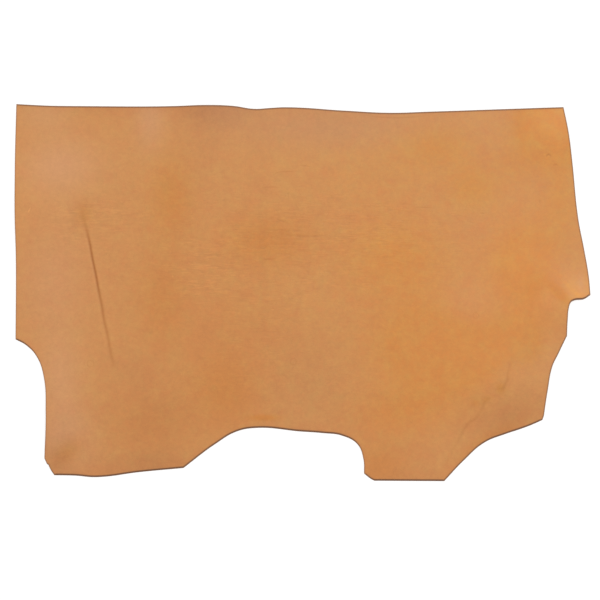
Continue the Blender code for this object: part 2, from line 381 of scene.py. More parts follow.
class Nodes:
    """Adds nodes to a tree and joins them, so that a chain of nodes reads as one expression."""

    def __init__(self, tree):
        self.tree = tree

    def add(self, kind, values=None, **settings):
        node = self.tree.nodes.new(kind)
        for name, value in settings.items():
            setattr(node, name, value)
        for key, value in (values or {}).items():
            self.put(value, node.inputs[key])
        return node

    def put(self, value, socket):
        """Sets a socket, or links it where the value is another node's output."""
        if isinstance(value, bpy.types.NodeSocket):
            self.tree.links.new(value, socket)
        else:
            socket.default_value = value

    def math(self, operation, *values, clamp=False):
        node = self.add("ShaderNodeMath", dict(enumerate(values)), operation=operation,
                        use_clamp=clamp)
        return node.outputs[0]

    def times(self, value, *others):
        """The product of the values."""
        for other in others:
            value = self.math("MULTIPLY", value, other)
        return value

    def plus(self, value, other):
        return self.math("ADD", value, other)

    def minus(self, value, other):
        return self.math("SUBTRACT", value, other)

    def vector(self, operation, *values):
        node = self.add("ShaderNodeVectorMath", dict(enumerate(values)), operation=operation)
        return node.outputs["Value" if operation in ("LENGTH", "DOT_PRODUCT") else "Vector"]

    def scaled(self, vector, amount):
        node = self.add("ShaderNodeVectorMath", {0: vector, "Scale": amount}, operation="SCALE")
        return node.outputs["Vector"]

    def ramp(self, value, low, high, to_low=0.0, to_high=1.0, smooth=False):
        """value mapped from low..high to to_low..to_high, and held at the ends."""
        node = self.add("ShaderNodeMapRange",
                        {"Value": value, "From Min": low, "From Max": high, "To Min": to_low,
                         "To Max": to_high},
                        interpolation_type="SMOOTHSTEP" if smooth else "LINEAR")
        return node.outputs[0]

    def noise(self, vector, scale, detail=2.0, roughness=0.5, distortion=0.0, seed=None):
        """Noise about 0.5; a seed picks one of the patterns of four-dimensional noise."""
        values = {"Vector": vector, "Scale": scale, "Detail": detail, "Roughness": roughness,
                  "Distortion": distortion}
        if seed is None:
            return self.add("ShaderNodeTexNoise", values).outputs[0]
        return self.add("ShaderNodeTexNoise", {**values, "W": seed},
                        noise_dimensions="4D").outputs[0]

    def mix(self, factor, first, second):
        node = self.add("ShaderNodeMix", {0: factor, 6: first, 7: second}, data_type="RGBA")
        return node.outputs[2]

    def stretched(self, vector, length, spacing):
        """Coordinates in which a pattern's features are length along X and spacing along Y."""
        along, across = (self.math("DIVIDE", 1.0, size) for size in (length, spacing))
        scale = self.add("ShaderNodeCombineXYZ", {"X": along, "Y": across, "Z": across}).outputs[0]
        return self.vector("MULTIPLY", vector, scale)


def new_tree(name, kind, inputs, outputs):
    """A node tree with the given sockets, its Nodes, and its group input and output nodes.

    inputs and outputs give each socket's default number by its name, or else the socket's type.
    """
    types = {float: "NodeSocketFloat", int: "NodeSocketInt"}
    tree = bpy.data.node_groups.new(name, kind)
    for direction, sockets in (("INPUT", inputs), ("OUTPUT", outputs)):
        for label, value in sockets.items():
            socket = tree.interface.new_socket(label, in_out=direction,
                                               socket_type=types.get(type(value), value))
            if type(value) in types:
                socket.default_value = value
    nodes = Nodes(tree)
    return tree, nodes, nodes.add("NodeGroupInput"), nodes.add("NodeGroupOutput")


def identifier(tree, label):
    """The identifier of a tree's input, which a modifier's value is set by."""
    return next(item.identifier for item in tree.interface.items_tree
                if item.in_out == "INPUT" and item.name == label)


def knife_loop():
    """The flesh side's outline in the model, as ordered (n, 2) points in metres, counter-clockwise,
    and a search tree of its faces."""
    merged = bmesh.new()
    merged.from_mesh(frame["nodes"][HIDE].data)
    bmesh.ops.remove_doubles(merged, verts=merged.verts, dist=1e-6)
    merged.normal_update()
    following = {}
    for edge in merged.edges:
        down = [face for face in edge.link_faces if face.normal.z < -0.5]
        if len(edge.link_faces) == 2 and len(down) == 1:
            for corner in down[0].loops:
                if corner.edge == edge:
                    following[corner.link_loop_next.vert] = corner.vert
    vert = next(iter(following))
    loop = []
    while vert in following:
        loop.append((vert.co.x, vert.co.y))
        vert = following.pop(vert)
    left_over = len(following)
    flesh = [face for face in merged.faces if face.normal.z < -0.5]
    tree = BVHTree.FromPolygons([v.co.copy() for v in merged.verts],
                                [[v.index for v in face.verts] for face in flesh])
    merged.free()
    if left_over:
        raise RuntimeError(f"the model's outline isn't one loop: {left_over} points are left over")
    return np.array(loop), tree


def evenly(points, step):
    """The points of an open line again, at equal steps of about that length, without its last."""
    along = np.concatenate([[0], np.cumsum(np.linalg.norm(np.diff(points, axis=0), axis=1))])
    count = max(1, round(along[-1] / step))
    stations = np.linspace(0, along[-1], count + 1)[:-1]
    return np.stack([np.interp(stations, along, points[:, k]) for k in (0, 1)], axis=1)


def smooth_line(points, is_corner, closed):
    """Points close together on a Bezier curve through the given ones, in stretches between corners."""
    curve = bpy.data.curves.new("guide", "CURVE")
    spline = curve.splines.new("BEZIER")
    spline.bezier_points.add(len(points) - 1)
    spline.use_cyclic_u = closed
    for knot, (x, y), at_corner in zip(spline.bezier_points, points, is_corner):
        knot.co = (x, y, 0)
        knot.handle_left_type = knot.handle_right_type = "VECTOR" if at_corner else "AUTO"
    guide = bpy.data.objects.new("guide", curve)
    bpy.context.scene.collection.objects.link(guide)
    bpy.context.view_layer.update()
    knots = list(spline.bezier_points)
    pairs = list(zip(knots, knots[1:] + knots[:1] if closed else knots[1:]))
    stretches, stretch = [], []
    for knot, following in pairs:
        stretch += [p.to_2d() for p in interpolate_bezier(
            knot.co, knot.handle_right, following.handle_left, following.co, CURVE_SAMPLES)]
        if following.handle_left_type == "VECTOR":
            stretches.append(np.array(stretch))
            stretch = []
    if stretch:
        stretches.append(np.array(stretch))
    bpy.data.objects.remove(guide)
    bpy.data.curves.remove(curve)
    return stretches


def rim_line(loop):
    """The knife's line at even steps, and the direction outwards at each point."""
    before, after = loop - np.roll(loop, 1, axis=0), np.roll(loop, -1, axis=0) - loop
    turn = np.arctan2(before[:, 0] * after[:, 1] - before[:, 1] * after[:, 0],
                      (before * after).sum(axis=1))
    beside = np.maximum(np.roll(turn, 1) * np.sign(turn), np.roll(turn, -1) * np.sign(turn))
    is_corner = (np.abs(turn) > CORNER_TURN) & (np.abs(turn) > CORNER_SHARPER * beside)
    first = int(np.argmax(is_corner))
    loop, is_corner = np.roll(loop, -first, axis=0), np.roll(is_corner, -first)
    rim = np.concatenate([evenly(stretch, RIM_STEP)
                          for stretch in smooth_line(loop, is_corner, closed=True)])
    along = np.roll(rim, -1, axis=0) - np.roll(rim, 1, axis=0)
    outwards = np.column_stack([along[:, 1], -along[:, 0]])
    return rim, outwards / np.linalg.norm(outwards, axis=1)[:, None]


class HeightField:
    """How far the flesh side stands off the surface, softened, at any point."""

    def __init__(self, tree):
        margin = FIELD_MARGIN * FIELD_STEP
        self.low = np.array(CAD_BOX[0][:2]) - margin
        size = np.array(CAD_BOX[1][:2]) + margin - self.low
        self.shape = tuple(np.ceil(size / FIELD_STEP).astype(int) + 1)
        heights = np.zeros(self.shape)
        for i in range(self.shape[0]):
            for j in range(self.shape[1]):
                x, y = self.low + FIELD_STEP * np.array((i, j))
                hit = tree.ray_cast(Vector((x, y, -1)), Vector((0, 0, 1)))[0]
                hit = hit or tree.find_nearest(Vector((x, y, 0)))[0]
                heights[i, j] = hit.z
        reach = int(FIELD_REACH * FIELD_SOFTNESS / FIELD_STEP)
        offsets = np.arange(-reach, reach + 1) * FIELD_STEP
        weights = np.exp(-offsets ** 2 / (2 * FIELD_SOFTNESS ** 2))
        weights /= weights.sum()
        for axis in (0, 1):
            padding = [(0, 0), (0, 0)]
            padding[axis] = (reach, reach)
            padded = np.pad(heights, padding, mode="edge")
            heights = np.apply_along_axis(np.convolve, axis, padded, weights, mode="valid")
        self.heights = heights

    def at(self, points):
        """The height at each point, between those of the four grid points round it."""
        place = (points - self.low) / FIELD_STEP
        corner = np.clip(np.floor(place).astype(int), 0, np.array(self.shape) - 2)
        share = place - corner
        i, j = corner.T
        u, v = share.T
        grid = self.heights
        return ((1 - u) * (1 - v) * grid[i, j] + u * (1 - v) * grid[i + 1, j]
                + (1 - u) * v * grid[i, j + 1] + u * v * grid[i + 1, j + 1])


def inside(points, outline):
    """Whether each point lies inside the outline, by counting the sides that it sees along +X."""
    seen = np.zeros(len(points), int)
    for (x0, y0), (x1, y1) in zip(outline, np.roll(outline, -1, axis=0)):
        if y0 != y1:
            spans = (y0 > points[:, 1]) != (y1 > points[:, 1])
            crossing = x0 + (points[:, 1] - y0) * (x1 - x0) / (y1 - y0)
            seen += spans & (crossing > points[:, 0])
    return seen % 2 == 1


def nearest(targets, points):
    """Which target is nearest to each point, and how far off it is."""
    tree = KDTree(len(targets))
    for index, (x, y) in enumerate(targets):
        tree.insert((x, y, 0), index)
    tree.balance()
    found = [tree.find((x, y, 0)) for x, y in points]
    return np.array([index for _, index, _ in found]), np.array([gap for *_, gap in found])


def clear_of(targets, points, gap):
    """The points that are further than gap from every target."""
    return points[nearest(targets, points)[1] > gap]


def lattice(outline, step):
    """Points of an even triangular lattice inside the outline, and clear of it."""
    low, high = outline.min(axis=0), outline.max(axis=0)
    rows = np.arange(low[1], high[1], step * math.sqrt(3) / 2)
    across = np.arange(low[0], high[0], step)
    points = np.concatenate([np.column_stack([across + step / 2 * (i % 2), np.full(len(across), y)])
                             for i, y in enumerate(rows)])
    return clear_of(outline, points[inside(points, outline)], LATTICE_CLEARANCE * step)


def mark_lines():
    """Each mark's and ring's centre line in metres, at even steps, with its Mark."""
    lines = []
    for mark in MARKS:
        points = np.array(mark.points, float) * MM
        smooth = np.concatenate(smooth_line(points, [False] * len(points), closed=False))
        lines.append((mark, np.concatenate([evenly(smooth, MARK_STEP), smooth[-1:]])))
    for ring in RINGS:
        turns = np.linspace(0, 2 * math.pi, RING_POINTS + 1)
        circle = np.column_stack([ring.x + ring.radius * np.cos(turns),
                                  ring.y + ring.radius * np.sin(turns)]) * MM
        lines.append((Mark("ring", (), RING_HALF_WIDTH, RING_DEPTH, RING_DARK, (1.0, 1.0)), circle))
    return lines


def mark_rows(lines):
    """Points beside every mark's line, close enough together to hold its trough."""
    rows = []
    for mark, line in lines:
        along = np.gradient(line, axis=0)
        across = np.column_stack([-along[:, 1], along[:, 0]])
        across /= np.linalg.norm(across, axis=1)[:, None]
        for share in MARK_ROWS:
            for side in (-1, 1) if share else (1,):
                rows.append(line + side * share * mark.half_width * MM * across)
    return np.unique(np.concatenate(rows).round(4), axis=0)


def marks_guide(lines):
    """The marks' lines as an edge mesh at height 0, with each point's depth, width and darkness."""
    points, edges, values = [], [], {"depth": [], "half_width": [], "dark": []}
    for mark, line in lines:
        first = len(points)
        points += [(x, y, 0) for x, y in line]
        edges += [(first + i, first + i + 1) for i in range(len(line) - 1)]
        strength = np.interp(np.linspace(0, 1, len(line)), np.linspace(0, 1, len(mark.fade)),
                             mark.fade)
        width = mark.faded_width + (1 - mark.faded_width) * strength
        values["depth"] += list(mark.depth * MM * strength)
        values["half_width"] += list(mark.half_width * MM * width)
        values["dark"] += list(mark.dark * strength)
    mesh = bpy.data.meshes.new("marks_guide")
    mesh.from_pydata(points, edges, [])
    for name, numbers in values.items():
        point_attribute(mesh, name, numbers)
    guide = bpy.data.objects.new("marks_guide", mesh)
    bpy.context.scene.collection.objects.link(guide)
    guide.hide_render = True
    return guide


def point_attribute(mesh, name, values):
    """Gives each point of the mesh its value of a named attribute."""
    attribute = mesh.attributes.new(name, "FLOAT", "POINT")
    attribute.data.foreach_set("value", np.asarray(values, np.float32))


def patches(points, table, value):
    """The sum of a table's soft ellipses at each point, with the named value at their middles."""
    total = np.zeros(len(points))
    for row in table:
        turn = math.radians(row.turn)
        dx, dy = (points / MM - (row.x, row.y)).T
        along = (dx * math.cos(turn) + dy * math.sin(turn)) / row.width
        across = (dy * math.cos(turn) - dx * math.sin(turn)) / row.height
        total += getattr(row, value) * np.exp(-PATCH_FALL * (along ** 2 + across ** 2))
    return total


def filled(boundary, inner):
    """Triangles, counter-clockwise, over a closed boundary and the points inside it."""
    # The points are rounded as Blender rounds them, so that no sliver outside a straight cut is kept
    points = np.concatenate([boundary, inner]).astype(np.float32).astype(float)
    placed, _, faces, *_ = delaunay_2d_cdt([Vector(p) for p in points], [],
                                           [list(range(len(boundary)))], 1, 1e-9, False)
    if len(placed) != len(points):
        raise RuntimeError(f"{len(points)} points became {len(placed)} as the sheet was filled")
    faces = np.array(faces)
    return faces[inside(points[faces].mean(axis=1), points[:len(boundary)])]


def by_facing(outwards, values):
    """A value for each point of the rim, from what it is where the rim faces each way."""
    ways = Facing(neck=(0, -1), back=(0, 1), left=(-1, 0), right=(1, 0))
    return sum(value * np.clip(outwards @ way, 0, 1) ** 2 for value, way in zip(values, ways))


def grain_points(edge, step, marks):
    """The grain side's points inside its edge: those at the marks, and an even lattice round them."""
    marks = clear_of(edge, marks[inside(marks, edge)], LATTICE_CLEARANCE * RIM_STEP)
    return np.concatenate([marks, clear_of(marks, lattice(edge, step), MARK_CLEARANCE * step)])


def hide_faces(rows, grain, flesh):
    """The faces over the points of the rim's rows, the grain and the flesh side, in that order, and
    which side each face belongs to."""
    n = len(rows[0])
    starts = [n * k for k in range(len(rows))]
    grain_start = n * len(rows)
    flesh_start = grain_start + len(grain)
    top = filled(rows[0], grain)
    top = np.where(top < n, top, top - n + grain_start)
    bottom = filled(rows[-1], flesh)[:, ::-1]
    bottom = np.where(bottom < n, bottom + starts[-1], bottom - n + flesh_start)
    faces, sides = top.tolist() + bottom.tolist(), [GRAIN] * len(top) + [FLESH] * len(bottom)
    for upper, lower, row in zip(starts, starts[1:], RIM_ROWS):
        for i in range(n):
            j = (i + 1) % n
            faces.append((upper + j, upper + i, lower + i, lower + j))
            sides.append(row.below)
    return faces, sides


def hide_values(flat, on_grain, rim, outwards, lean):
    """What the relief and the leathers read at each point, by the names of the attributes."""
    at_rim, to_rim = nearest(rim, flat)
    # How dark the rim is painted by its way of facing: its own dark from drying, with painted shade
    rim_dark = by_facing(outwards, RIM_DARK)
    beside_rim = rim_dark[at_rim] * np.exp(-(to_rim / RIM_TINT_REACH) ** 2)
    dried = rim_dark[at_rim]
    dried[:len(rim) * len(RIM_ROWS)] *= np.repeat([row.dried for row in RIM_ROWS], len(rim))
    return {"on_grain": on_grain,
            "relief": on_grain * np.clip(to_rim / RELIEF_FADE, 0, 1),
            "growth": patches(flat, WRINKLES, "strength"),
            "ridges": patches(flat, WRINKLES, "ridges"),
            # The grain beside the rim is painted darker here: painted shade by the rim's way of facing
            "light": patches(flat, TAN_AND_SHADE, "light") + RIM_PAINTED_SHADE * beside_rim,
            "rosy": patches(flat, TAN_AND_SHADE, "rosy") + RIM_TINT_ROSY * beside_rim,
            "pale": patches(flat, TAN_AND_SHADE, "pale"),
            "dried": dried,
            "from_edge": to_rim - lean[at_rim]}


def hide_mesh(shape, lines):
    """The hide as one closed mesh: grain side, rounded cut edge and flesh side."""
    loop, flesh_tree = knife_loop()
    rim, outwards = rim_line(loop)
    lean = by_facing(outwards, KNIFE_LEAN)
    rows = [rim - (row.inset + row.height * lean[:, None]) * outwards for row in RIM_ROWS]
    grain = grain_points(rows[0], shape.grain_step, mark_rows(lines))
    flesh = lattice(rows[-1], shape.flesh_step)
    faces, sides = hide_faces(rows, grain, flesh)

    flat = np.concatenate([*rows, grain, flesh])
    share = np.concatenate([np.repeat([row.height for row in RIM_ROWS], len(rim)),
                            np.ones(len(grain)), np.zeros(len(flesh))])
    height = HeightField(flesh_tree).at(flat) + share * SUBSTANCE
    mesh = bpy.data.meshes.new(PIECE)
    mesh.from_pydata(np.column_stack([flat, height]).tolist(), [], faces)
    mesh.shade_smooth()
    side = mesh.attributes.new("side", "INT", "FACE")
    side.data.foreach_set("value", np.array(sides, np.int32))
    for name, values in hide_values(flat, share == 1, rim, outwards, lean).items():
        point_attribute(mesh, name, values)
    return mesh


def named(nodes, name, data_type="FLOAT"):
    """What a Geometry Nodes tree reads of the mesh's own named attribute."""
    return nodes.add("GeometryNodeInputNamedAttribute", {"Name": name},
                     data_type=data_type).outputs[0]


def growth_rise(nodes, given, place):
    """How far growth wrinkles and slight waves lift each point of the grain side."""
    strands = nodes.stretched(place, given["Wrinkle Length"], given["Wrinkle Spacing"])
    ridges = nodes.noise(strands, 1.0, detail=2.0, roughness=0.55, distortion=0.6,
                         seed=given["Seed"])
    from_middle = nodes.math("ABSOLUTE", nodes.minus(ridges, 0.5))
    trough = nodes.ramp(from_middle, 0.0, 0.07, 1.0, 0.0, smooth=True)
    depth = nodes.times(trough, named(nodes, "growth"), given["Wrinkle Depth"])
    waves = nodes.noise(place, nodes.math("DIVIDE", 1.0, given["Wave Length"]), detail=1.0,
                        seed=given["Seed"])
    swell = nodes.times(nodes.minus(waves, 0.5), given["Unevenness"])
    return nodes.times(nodes.minus(swell, depth), named(nodes, "relief"))


def marks_rise(nodes, given, place):
    """How far the marks' troughs and lips lift each point, and how dark they mark it, with a painted
    highlight on the lips.
    """
    axes = nodes.add("ShaderNodeSeparateXYZ", {0: place})
    flat = nodes.add("ShaderNodeCombineXYZ", {"X": axes.outputs[0], "Y": axes.outputs[1]}).outputs[0]
    lines = nodes.add("GeometryNodeObjectInfo", {"Object": given["Marks"]},
                      transform_space="RELATIVE").outputs["Geometry"]
    gap = nodes.add("GeometryNodeProximity", {"Geometry": lines, "Sample Position": flat},
                    target_element="EDGES").outputs["Distance"]
    sample = nodes.add("GeometryNodeSampleNearest", {"Geometry": lines, "Sample Position": flat},
                       domain="POINT").outputs[0]

    def there(name):
        """What the nearest point of the lines says."""
        return nodes.add("GeometryNodeSampleIndex",
                         {"Geometry": lines, "Value": named(nodes, name), "Index": sample},
                         data_type="FLOAT", domain="POINT").outputs[0]

    away = nodes.math("DIVIDE", gap, nodes.math("MAXIMUM", there("half_width"), 1e-4))
    trough = nodes.ramp(away, 0.0, 1.0, 1.0, 0.0, smooth=True)
    lip = nodes.times(nodes.ramp(away, LIP.start, LIP.top, smooth=True),
                      nodes.ramp(away, LIP.top, LIP.end, 1.0, 0.0, smooth=True))
    on_grain = named(nodes, "on_grain")
    shape = nodes.minus(nodes.times(lip, LIP.height), trough)
    # The marking: darker in the trough, with a painted highlight on the lip
    worn = nodes.minus(trough, nodes.times(lip, LIP.worn))
    return (nodes.times(shape, there("depth"), on_grain),
            nodes.times(worn, there("dark"), on_grain))


def hide_surface_tree():
    """Raises the grain side's growth wrinkles, waves and marks, and lays on the three leathers."""
    leathers = {"Grain Leather": GRAIN, "Edge Leather": EDGE, "Flesh Leather": FLESH}
    tree, nodes, given, result = new_tree(
        "hide_surface", "GeometryNodeTree",
        {"Geometry": "NodeSocketGeometry", "Marks": "NodeSocketObject", "Seed": SURFACE_SEED,
         **dict.fromkeys(SHAPE_INPUTS, "NodeSocketFloat"),
         **dict.fromkeys(leathers, "NodeSocketMaterial")},
        {"Geometry": "NodeSocketGeometry"})
    given = given.outputs
    place = nodes.add("GeometryNodeInputPosition").outputs[0]
    growth = growth_rise(nodes, given, place)
    rise, pressed = marks_rise(nodes, given, place)
    offset = nodes.add("ShaderNodeCombineXYZ", {"Z": nodes.plus(growth, rise)}).outputs[0]
    # The marks' darkness and the painted highlight on their lips, as an attribute for the grain's
    # colour
    dressed = nodes.add("GeometryNodeStoreNamedAttribute",
                        {"Geometry": given["Geometry"], "Name": "pressed", "Value": pressed},
                        data_type="FLOAT", domain="POINT").outputs[0]
    dressed = nodes.add("GeometryNodeSetPosition",
                        {"Geometry": dressed, "Offset": offset}).outputs[0]
    dressed = nodes.add("GeometryNodeRealizeInstances", {0: dressed}).outputs[0]
    for label, side in leathers.items():
        chosen = nodes.add("FunctionNodeCompare", {2: named(nodes, "side", "INT"), 3: side},
                           data_type="INT", operation="EQUAL").outputs[0]
        dressed = nodes.add("GeometryNodeSetMaterial",
                            {"Geometry": dressed, "Selection": chosen,
                             "Material": given[label]}).outputs[0]
    nodes.put(dressed, result.inputs["Geometry"])
    return tree


def cloudy_group():
    """Soft clouds, as the tan takes unevenly: how light and how rosy, both about 0."""
    tree, nodes, given, result = new_tree(
        "uneven_tan", "ShaderNodeTree", {"Vector": "NodeSocketVector", "Cloud Size": 0.1},
        {"Light": 0.0, "Rosy": 0.0})
    vector = given.outputs["Vector"]
    scale = nodes.math("DIVIDE", 1.0, given.outputs["Cloud Size"])

    def clouds(start, sizes):
        """Noise of several sizes about 0; sizes are pairs of times finer and strength."""
        place = nodes.vector("ADD", vector, start)
        total = 0.0
        for times, strength in sizes:
            noise = nodes.noise(place, nodes.times(scale, times), detail=1.5, distortion=0.4)
            total = nodes.plus(total, nodes.times(strength, nodes.minus(noise, 0.5)))
        return total

    light = clouds((0.0, 0.0, 0.0), ((1.0, 0.25), (3.1, 0.6), (9.0, 1.05), (28.0, 0.3)))
    rosy = clouds((3.7, 1.9, 0.0), ((0.7, 0.5), (2.3, 1.0), (7.0, 0.7), (21.0, 0.3)))
    nodes.put(light, result.inputs["Light"])
    nodes.put(rosy, result.inputs["Rosy"])
    return tree


def fibre_group():
    """Matted fibres: fine strands that wander, as a height and as a tint, both 0 to 1."""
    tree, nodes, given, result = new_tree(
        "matted_fibres", "ShaderNodeTree",
        {"Vector": "NodeSocketVector", "Fibre Length": 0.008, "Fibre Width": 0.001},
        {"Height": 0.0, "Tint": 0.0})
    vector, length, width = (given.outputs[k] for k in ("Vector", "Fibre Length", "Fibre Width"))
    strands = nodes.stretched(vector, length, width)
    turned = nodes.add("ShaderNodeVectorRotate", {"Vector": vector, "Angle": math.radians(68)},
                       rotation_type="Z_AXIS").outputs[0]
    crossing = nodes.stretched(turned, length, width)
    one = nodes.noise(strands, 1.0, detail=2.0, distortion=1.2)
    other = nodes.noise(crossing, 0.8, detail=2.0, distortion=1.4)
    height = nodes.math("MAXIMUM", one, other)
    tufts = nodes.noise(vector, nodes.math("DIVIDE", 2.0, length), detail=3.0)
    both = nodes.plus(nodes.times(height, 0.5), nodes.times(tufts, 0.5))
    nodes.put(nodes.ramp(height, 0.35, 0.8), result.inputs["Height"])
    nodes.put(nodes.ramp(both, 0.35, 0.7), result.inputs["Tint"])
    return tree


def grain_group():
    """The grain's cells, its hair pores, its fine veins and its short growth lines.

    Cells and Veins are heights from 0 to 1, Pores is 1 in a pore and 0 outside, and Lines is below 0
    in a growth line's furrow and above 0 beside it.
    """
    tree, nodes, given, result = new_tree(
        "grain_and_pores", "ShaderNodeTree",
        {"Vector": "NodeSocketVector", "Cell Size": 0.0012, "Pore Spacing": 0.0024,
         "Vein Spacing": 0.007, "Line Length": 0.03, "Line Spacing": 0.006, "Share": 0.5},
        {"Cells": 0.0, "Pores": 0.0, "Veins": 0.0, "Lines": 0.0})
    given = given.outputs

    def web(vector, size, feature):
        scale = nodes.math("DIVIDE", 1.0, size)
        return nodes.add("ShaderNodeTexVoronoi", {"Vector": vector, "Scale": scale},
                         feature=feature).outputs["Distance"]

    vector = given["Vector"]
    cells = nodes.ramp(web(vector, given["Cell Size"], "SMOOTH_F1"), 0.1, 0.6, 1.0, 0.0)
    pores = nodes.ramp(web(vector, given["Pore Spacing"], "F1"), 0.08, 0.20, 1.0, 0.0, smooth=True)
    wander = nodes.scaled(nodes.vector("SUBTRACT", nodes.add(
        "ShaderNodeTexNoise", {"Vector": vector, "Scale": 160.0}).outputs["Color"],
        (0.5, 0.5, 0.5)), 0.004)
    long_cells = nodes.vector("MULTIPLY", nodes.vector("ADD", vector, wander), (0.6, 1.0, 1.0))
    veins = nodes.ramp(web(long_cells, given["Vein Spacing"], "DISTANCE_TO_EDGE"), 0.0, 0.09,
                       smooth=True)

    lines = nodes.stretched(vector, given["Line Length"], given["Line Spacing"])
    waves = nodes.noise(lines, 1.0, detail=1.0, roughness=0.5, distortion=0.5)
    furrow = nodes.minus(nodes.ramp(waves, 0.52, 0.64, smooth=True),
                         nodes.ramp(waves, 0.48, 0.36, smooth=True))
    grouped = nodes.noise(nodes.vector("ADD", lines, (7.3, 2.1, 0.0)), 0.45, detail=1.0)
    share = nodes.minus(0.66, nodes.times(given["Share"], 0.34))
    there = nodes.ramp(grouped, share, nodes.plus(share, 0.12), smooth=True)
    for label, value in (("Cells", cells), ("Pores", pores), ("Veins", veins),
                         ("Lines", nodes.times(furrow, there))):
        nodes.put(value, result.inputs[label])
    return tree


def new_material(name):
    """A material with a Principled BSDF, its Nodes and that shader."""
    material = bpy.data.materials.new(name)
    material.use_nodes = True
    return material, Nodes(material.node_tree), material.node_tree.nodes["Principled BSDF"]


def attribute_value(nodes, name):
    """What a material reads of the mesh's own named attribute."""
    return nodes.add("ShaderNodeAttribute", attribute_name=name).outputs["Fac"]


def object_place(nodes):
    """The place on the hide in metres, as the materials read it."""
    return nodes.add("ShaderNodeTexCoord").outputs["Object"]


def use_group(nodes, group, **values):
    """Places a shader node group; its inputs are given by name, with _ for a space."""
    node = nodes.add("ShaderNodeGroup", node_tree=group)
    for label, value in values.items():
        nodes.put(value, node.inputs[label.replace("_", " ").title()])
    return node.outputs


def brightened(nodes, colour, change):
    """The colour made lighter by the share that change says, or darker where it is below 0."""
    return nodes.scaled(colour, nodes.plus(1.0, change))


def dress(nodes, shader, colour, roughness, specular, relief, strength, distance):
    """Gives a leather's shader its colour, roughness and shine, and its relief as a bump."""
    bump = nodes.add("ShaderNodeBump", {"Height": relief, "Strength": strength, "Distance": distance})
    for label, value in (("Base Color", colour), ("Roughness", roughness),
                         ("Specular IOR Level", specular), ("Normal", bump.outputs[0])):
        nodes.put(value, shader.inputs[label])


def grain_leather(colours, groups):
    """The smooth outer side: uneven tan, fine grain, growth lines and darker marks, with painted light
    and shade in the tan, the growth lines, the marks' lips and along the rim.
    """
    material, nodes, shader = new_material("grain_leather")
    place = object_place(nodes)
    clouds = use_group(nodes, groups["tan"], vector=place, cloud_size=0.085)
    growth = nodes.math("MINIMUM", attribute_value(nodes, "growth"), 1.0)
    grain = use_group(nodes, groups["grain"], vector=place, cell_size=0.0013, pore_spacing=0.0026,
                      vein_spacing=0.008, line_length=0.026, line_spacing=0.0048, share=growth)
    pressed = attribute_value(nodes, "pressed")
    lines = nodes.times(grain["Lines"], growth)

    def total(*terms):
        """The sum of values, each times its strength."""
        value = 0.0
        for term, strength in terms:
            value = nodes.plus(value, nodes.times(term, strength))
        return value

    def took(*terms):
        """A share from 0 to 1, from a base and the attributes and clouds that change it."""
        return nodes.math("MINIMUM", nodes.math("MAXIMUM", total(*terms), 0.0), 1.0)

    rosy = took((1.0, 0.44), (attribute_value(nodes, "rosy"), 1.0), (clouds["Rosy"], 1.3))
    pale = took((1.0, 0.26), (attribute_value(nodes, "pale"), 1.0))
    colour = nodes.mix(pale, nodes.mix(rosy, colours.golden, colours.rosy), colours.pale)
    # A painted highlight on the growth wrinkles' ridges
    ridges = nodes.times(nodes.math("MAXIMUM", grain["Lines"], 0.0),
                         attribute_value(nodes, "ridges"))
    # The grain painted lighter or darker: the tan's clouds and patches, which carry painted light and
    # shade, painted shade in the growth lines' furrows with a painted highlight beside them, the
    # ridges' painted highlight, and the grain's cells, pores and veins
    colour = brightened(nodes, colour, total(
        (clouds["Light"], 0.14), (attribute_value(nodes, "light"), 1.0), (lines, 0.045),
        (ridges, 0.045), (grain["Cells"], 0.03), (grain["Pores"], -0.16), (grain["Veins"], 0.03),
        (1.0, -0.066)))
    marked = nodes.math("MULTIPLY", pressed, 0.88, clamp=True)
    colour = nodes.mix(marked, colour, colours.mark)
    # Below 0 the grain is painted lighter: a light mark's grain is scraped there, and on a trough's
    # lip lies a painted highlight
    colour = brightened(nodes, colour, nodes.math("MAXIMUM", 0.0, nodes.times(pressed, -0.5)))
    # Along the rim the grain is painted darker: its own dark from drying, with painted shade
    near_edge = nodes.ramp(attribute_value(nodes, "from_edge"), *DRIED_AND_SHADED_FADE, 1.0, 0.0, smooth=True)
    dried = nodes.times(attribute_value(nodes, "dried"), near_edge)
    colour = nodes.mix(dried, colour, colours.edge_dark)
    roughness = total((1.0, 0.48), (clouds["Light"], 0.16), (grain["Cells"], -0.06),
                      (grain["Pores"], 0.15), (pressed, -0.08))
    relief = total((grain["Cells"], 0.35), (grain["Pores"], -0.5), (grain["Veins"], 0.3),
                   (lines, 1.0))
    dress(nodes, shader, colour, roughness, 0.42, relief, strength=0.6, distance=0.18 * MM)
    return material


def edge_leather(colours, groups):
    """The knife's cut through the hide: packed fibres, darker at the corners by drying and painted
    shade.
    """
    material, nodes, shader = new_material("edge_leather")
    place = object_place(nodes)
    fibres = use_group(nodes, groups["fibres"], vector=place, fibre_length=0.003,
                       fibre_width=0.0007)
    clouds = use_group(nodes, groups["tan"], vector=place, cloud_size=0.05)
    # The cut is painted darker by the rim's way of facing: its own dark from drying, with painted
    # shade
    dark = nodes.math("ADD", nodes.times(fibres["Tint"], 0.3),
                      nodes.times(attribute_value(nodes, "dried"), 0.8), clamp=True)
    colour = nodes.mix(dark, colours.edge, colours.edge_dark)
    colour = brightened(nodes, colour, nodes.times(clouds["Light"], 0.3))
    roughness = nodes.ramp(fibres["Height"], 0.0, 1.0, 0.62, 0.86)
    dress(nodes, shader, colour, roughness, 0.3, fibres["Height"], strength=0.7, distance=0.25 * MM)
    return material


